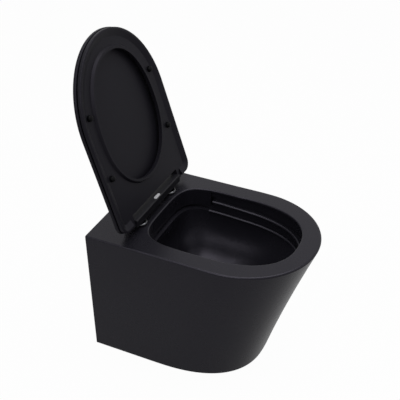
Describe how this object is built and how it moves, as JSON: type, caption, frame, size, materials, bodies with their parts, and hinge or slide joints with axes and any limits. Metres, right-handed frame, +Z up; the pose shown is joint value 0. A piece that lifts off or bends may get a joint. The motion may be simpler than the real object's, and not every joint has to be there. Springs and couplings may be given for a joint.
{
  "type": "wall hung toilet",
  "caption": "Matt black wall hung toilet: skirted rimless pan with a quick release hinge bar, chrome hinge caps, a slow closing seat ring and a flat lid.",
  "frame": {"origin": "on the wall plane, midway between the two wall studs", "axes": "+Y into the wall, so the pan juts out towards -Y; +X to the right seen from the front; +Z up"},
  "size_m": [0.3604, 0.5718, 0.8049],
  "materials": {
    "pan_glaze": "matt black glaze",
    "seat_plastic": "matt black",
    "bar_plastic": "satin black",
    "bright_chrome": "satin",
    "cap_chrome": "dark, polished",
    "fixing_steel": "zinc plated",
    "shaft_steel": "turned",
    "fixing_nylon": "natural nylon",
    "damper_plastic": "grey acetal",
    "soft_rubber": "soft black"
  },
  "bodies": {
    "pan": {"pan": "pan_glaze", "stud_sleeve_left": "fixing_nylon", "stud_sleeve_right": "fixing_nylon", "stud_washer_left": "fixing_steel", "stud_washer_right": "fixing_steel", "stud_nut_left": "fixing_steel", "stud_nut_right": "fixing_steel", "hinge_plug_left": "fixing_nylon", "hinge_plug_right": "fixing_nylon", "hinge_nut_left": "fixing_steel", "hinge_nut_right": "fixing_steel", "hinge_bolt_left": "fixing_steel", "hinge_bolt_right": "fixing_steel"},
    "hinge_mounts": {"hinge_gasket_left": "soft_rubber", "hinge_gasket_right": "soft_rubber", "hinge_base_left": "fixing_steel", "hinge_base_right": "fixing_steel", "hinge_post_left": "fixing_steel", "hinge_post_right": "fixing_steel", "hinge_cap_left": "cap_chrome", "hinge_cap_right": "cap_chrome"},
    "hinge_bar": {"hinge_bar": "bar_plastic", "hinge_bar_floor": "bar_plastic", "damper_left": "damper_plastic", "damper_right": "damper_plastic", "button_spring": "shaft_steel"},
    "button": {"release_button": "bright_chrome", "button_slider": "damper_plastic"},
    "latch_left": {"latch_left": "damper_plastic"},
    "latch_right": {"latch_right": "damper_plastic"},
    "lid": {"lid": "seat_plastic", "lid_bumper_left": "soft_rubber", "lid_bumper_right": "soft_rubber", "lid_shaft": "shaft_steel"},
    "seat": {"seat_ring": "seat_plastic", "seat_bumper_rear_left": "soft_rubber", "seat_bumper_rear_right": "soft_rubber", "seat_bumper_front_left": "soft_rubber", "seat_bumper_front_right": "soft_rubber", "seat_shaft": "shaft_steel"}
  },
  "joints": [
    {"name": "seat_adjust", "type": "slide", "parent": "pan", "child": "hinge_mounts", "axis": [0, 1, 0], "range_m": [-0.003, 0.003]},
    {"name": "hinge_lift", "type": "slide", "parent": "hinge_mounts", "child": "hinge_bar", "axis": [0, 0, -1], "range_m": [-0.022, 0]},
    {"name": "lid_hinge", "type": "hinge", "parent": "hinge_bar", "child": "lid", "pos_m": [0, -0.088, 0.105], "axis": [1, 0, 0], "range_deg": [0, 108]},
    {"name": "seat_hinge", "type": "hinge", "parent": "lid", "child": "seat", "pos_m": [0, -0.088, 0.105], "axis": [-1, 0, 0], "range_deg": [-108, 0]},
    {"name": "button_press", "type": "slide", "parent": "hinge_bar", "child": "button", "axis": [0, 0, -1], "range_m": [0, 0.0025], "stiffness_N_per_m": 600, "springref_m": -0.003, "deforming": ["button_spring"]},
    {"name": "latch_left_slide", "type": "slide", "parent": "hinge_bar", "child": "latch_left", "axis": [1, 0, 0], "range_m": [0, 0.0025]},
    {"name": "latch_right_slide", "type": "slide", "parent": "hinge_bar", "child": "latch_right", "axis": [-1, 0, 0], "range_m": [0, 0.0025]}
  ],
  "couplings": [
    {"joint": "latch_left_slide", "follows": "button_press", "ratio": 1},
    {"joint": "latch_right_slide", "follows": "button_press", "ratio": 1}
  ]
}
